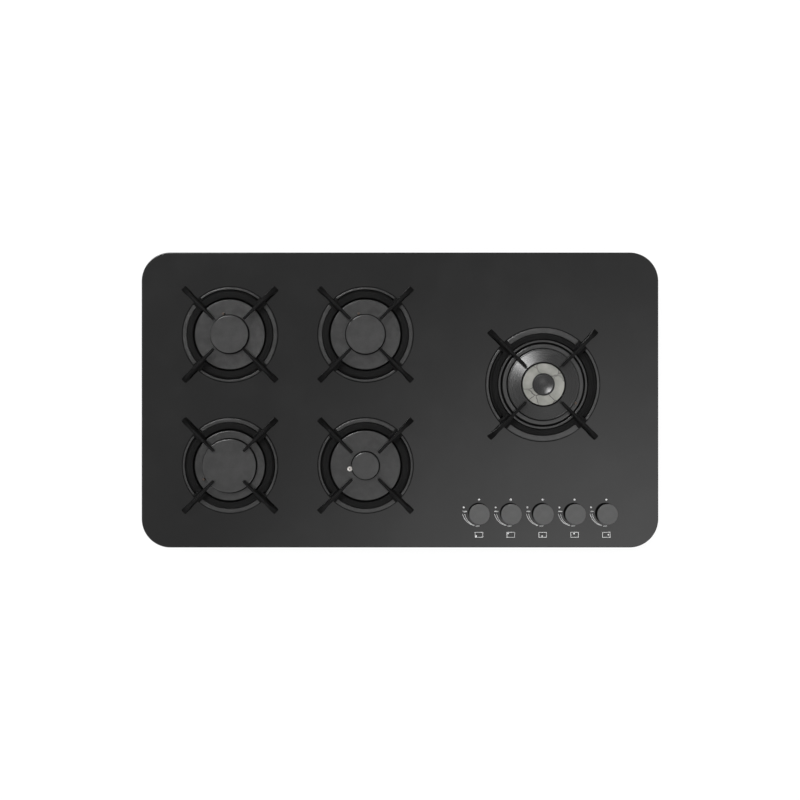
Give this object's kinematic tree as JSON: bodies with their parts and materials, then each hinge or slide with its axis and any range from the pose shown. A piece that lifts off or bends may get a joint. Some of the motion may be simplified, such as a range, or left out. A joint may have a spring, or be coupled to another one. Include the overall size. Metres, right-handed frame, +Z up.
{
  "type": "gas cooktop",
  "caption": "Built-in gas cooktop: black glass top on a steel tray, burners with cast-iron pan supports, and push-and-turn knobs on taps at the front.",
  "frame": {"origin": "under the middle of the glass, on the underside of the steel tray that the hob rests on", "axes": "+X to the right along the glass, as seen by the cook; +Y to the rear; +Z up. The knobs are at the front right, so at -Y and +X"},
  "size_m": [0.9, 0.514, 0.104],
  "materials": {
    "black_glass": "polished black ceramic glass, opaque",
    "galvanised_steel": "galvanised sheet",
    "seal_rubber": "matt",
    "zinc_steel": "zinc plated",
    "cast_aluminium": "as cast",
    "brass": "machined",
    "white_ceramic": "glazed",
    "copper_steel": "steel tips on copper leads",
    "white_plastic": "satin moulded",
    "lead_insulation": "silicone sleeve",
    "painted_pipe": "grey paint",
    "black_plastic": "moulded",
    "knob_metal": "satin dark grey",
    "bowl_steel": "satin dark titanium grey",
    "cast_iron": "matt black enamel",
    "crown_aluminium": "bead blasted",
    "cap_enamel": "satin grey enamel",
    "ring_cap_metal": "turned, satin grey",
    "inner_cap_enamel": "gloss enamel"
  },
  "bodies": {
    "hob": {"glass_panel": "black_glass", "base_tray": "galvanised_steel", "worktop_seal": "seal_rubber", "worktop_clamps": "galvanised_steel", "fixing_screws": "zinc_steel", "bowl_gaskets": "seal_rubber", "burner_cups": "cast_aluminium", "injectors": "brass", "ignition_electrodes": "white_ceramic", "flame_sensors": "copper_steel", "spark_generator": "white_plastic", "ignition_leads": "lead_insulation", "gas_manifold": "painted_pipe", "gas_pipes": "cast_aluminium", "inlet_elbow": "brass", "cable_gland": "black_plastic", "tap_bodies": "cast_aluminium", "ignition_switches": "black_plastic", "knob_seals": "seal_rubber", "burner_bowl_front_left": "bowl_steel", "burner_bowl_rear_left": "bowl_steel", "burner_bowl_front_centre": "bowl_steel", "burner_bowl_rear_centre": "bowl_steel", "burner_bowl_right": "bowl_steel"},
    "plug_front_left": {"tap_plug_front_left": "brass"},
    "knob_front_left": {"knob_front_left": "knob_metal", "spindle_front_left": "zinc_steel"},
    "plug_rear_left": {"tap_plug_rear_left": "brass"},
    "knob_rear_left": {"knob_rear_left": "knob_metal", "spindle_rear_left": "zinc_steel"},
    "plug_front_centre": {"tap_plug_front_centre": "brass"},
    "knob_front_centre": {"knob_front_centre": "knob_metal", "spindle_front_centre": "zinc_steel"},
    "plug_rear_centre": {"tap_plug_rear_centre": "brass"},
    "knob_rear_centre": {"knob_rear_centre": "knob_metal", "spindle_rear_centre": "zinc_steel"},
    "plug_right": {"tap_plug_right": "brass"},
    "knob_right": {"knob_right": "knob_metal", "spindle_right": "zinc_steel"},
    "pan_front_left": {"pan_support_front_left": "cast_iron", "pan_feet_front_left": "seal_rubber"},
    "crown_front_left": {"flame_crown_front_left": "crown_aluminium"},
    "cap_front_left": {"burner_cap_front_left": "cap_enamel"},
    "pan_rear_left": {"pan_support_rear_left": "cast_iron", "pan_feet_rear_left": "seal_rubber"},
    "crown_rear_left": {"flame_crown_rear_left": "crown_aluminium"},
    "cap_rear_left": {"burner_cap_rear_left": "cap_enamel"},
    "pan_front_centre": {"pan_support_front_centre": "cast_iron", "pan_feet_front_centre": "seal_rubber"},
    "crown_front_centre": {"flame_crown_front_centre": "crown_aluminium"},
    "cap_front_centre": {"burner_cap_front_centre": "cap_enamel"},
    "pan_rear_centre": {"pan_support_rear_centre": "cast_iron", "pan_feet_rear_centre": "seal_rubber"},
    "crown_rear_centre": {"flame_crown_rear_centre": "crown_aluminium"},
    "cap_rear_centre": {"burner_cap_rear_centre": "cap_enamel"},
    "pan_right": {"pan_support_right": "cast_iron", "pan_feet_right": "seal_rubber"},
    "crown_right": {"flame_crown_right": "crown_aluminium"},
    "cap_right": {"burner_cap_right": "ring_cap_metal"},
    "cap_right_inner": {"burner_cap_right_inner": "inner_cap_enamel"}
  },
  "joints": [
    {"name": "turn_front_left", "type": "hinge", "parent": "hob", "child": "plug_front_left", "pos_m": [0.1375, -0.198, 0.058], "axis": [0, 0, 1], "range_deg": [0, 175]},
    {"name": "push_front_left", "type": "slide", "parent": "plug_front_left", "child": "knob_front_left", "axis": [0, 0, -1], "range_m": [0, 0.003], "stiffness_N_per_m": 800, "springref_m": -0.004},
    {"name": "turn_rear_left", "type": "hinge", "parent": "hob", "child": "plug_rear_left", "pos_m": [0.193, -0.198, 0.058], "axis": [0, 0, 1], "range_deg": [0, 175]},
    {"name": "push_rear_left", "type": "slide", "parent": "plug_rear_left", "child": "knob_rear_left", "axis": [0, 0, -1], "range_m": [0, 0.003], "stiffness_N_per_m": 800, "springref_m": -0.004},
    {"name": "turn_front_centre", "type": "hinge", "parent": "hob", "child": "plug_front_centre", "pos_m": [0.2485, -0.198, 0.058], "axis": [0, 0, 1], "range_deg": [0, 175]},
    {"name": "push_front_centre", "type": "slide", "parent": "plug_front_centre", "child": "knob_front_centre", "axis": [0, 0, -1], "range_m": [0, 0.003], "stiffness_N_per_m": 800, "springref_m": -0.004},
    {"name": "turn_rear_centre", "type": "hinge", "parent": "hob", "child": "plug_rear_centre", "pos_m": [0.304, -0.198, 0.058], "axis": [0, 0, 1], "range_deg": [0, 175]},
    {"name": "push_rear_centre", "type": "slide", "parent": "plug_rear_centre", "child": "knob_rear_centre", "axis": [0, 0, -1], "range_m": [0, 0.003], "stiffness_N_per_m": 800, "springref_m": -0.004},
    {"name": "turn_right", "type": "hinge", "parent": "hob", "child": "plug_right", "pos_m": [0.3595, -0.198, 0.058], "axis": [0, 0, 1], "range_deg": [0, 175]},
    {"name": "push_right", "type": "slide", "parent": "plug_right", "child": "knob_right", "axis": [0, 0, -1], "range_m": [0, 0.003], "stiffness_N_per_m": 800, "springref_m": -0.004},
    {"name": "lift_pan_front_left", "type": "slide", "parent": "hob", "child": "pan_front_left", "axis": [0, 0, 1], "range_m": [0, 0.06]},
    {"name": "lift_crown_front_left", "type": "slide", "parent": "hob", "child": "crown_front_left", "axis": [0, 0, 1], "range_m": [0, 0.006]},
    {"name": "lift_cap_front_left", "type": "slide", "parent": "crown_front_left", "child": "cap_front_left", "axis": [0, 0, 1], "range_m": [0, 0.006]},
    {"name": "lift_pan_rear_left", "type": "slide", "parent": "hob", "child": "pan_rear_left", "axis": [0, 0, 1], "range_m": [0, 0.06]},
    {"name": "lift_crown_rear_left", "type": "slide", "parent": "hob", "child": "crown_rear_left", "axis": [0, 0, 1], "range_m": [0, 0.04]},
    {"name": "lift_cap_rear_left", "type": "slide", "parent": "crown_rear_left", "child": "cap_rear_left", "axis": [0, 0, 1], "range_m": [0, 0.04]},
    {"name": "lift_pan_front_centre", "type": "slide", "parent": "hob", "child": "pan_front_centre", "axis": [0, 0, 1], "range_m": [0, 0.06]},
    {"name": "lift_crown_front_centre", "type": "slide", "parent": "hob", "child": "crown_front_centre", "axis": [0, 0, 1], "range_m": [0, 0.04]},
    {"name": "lift_cap_front_centre", "type": "slide", "parent": "crown_front_centre", "child": "cap_front_centre", "axis": [0, 0, 1], "range_m": [0, 0.04]},
    {"name": "lift_pan_rear_centre", "type": "slide", "parent": "hob", "child": "pan_rear_centre", "axis": [0, 0, 1], "range_m": [0, 0.06]},
    {"name": "lift_crown_rear_centre", "type": "slide", "parent": "hob", "child": "crown_rear_centre", "axis": [0, 0, 1], "range_m": [0, 0.04]},
    {"name": "lift_cap_rear_centre", "type": "slide", "parent": "crown_rear_centre", "child": "cap_rear_centre", "axis": [0, 0, 1], "range_m": [0, 0.04]},
    {"name": "lift_pan_right", "type": "slide", "parent": "hob", "child": "pan_right", "axis": [0, 0, 1], "range_m": [0, 0.06]},
    {"name": "lift_crown_right", "type": "slide", "parent": "hob", "child": "crown_right", "axis": [0, 0, 1], "range_m": [0, 0.006]},
    {"name": "lift_cap_right", "type": "slide", "parent": "crown_right", "child": "cap_right", "axis": [0, 0, 1], "range_m": [0, 0.006]},
    {"name": "lift_cap_right_inner", "type": "slide", "parent": "crown_right", "child": "cap_right_inner", "axis": [0, 0, 1], "range_m": [0, 0.03]}
  ]
}
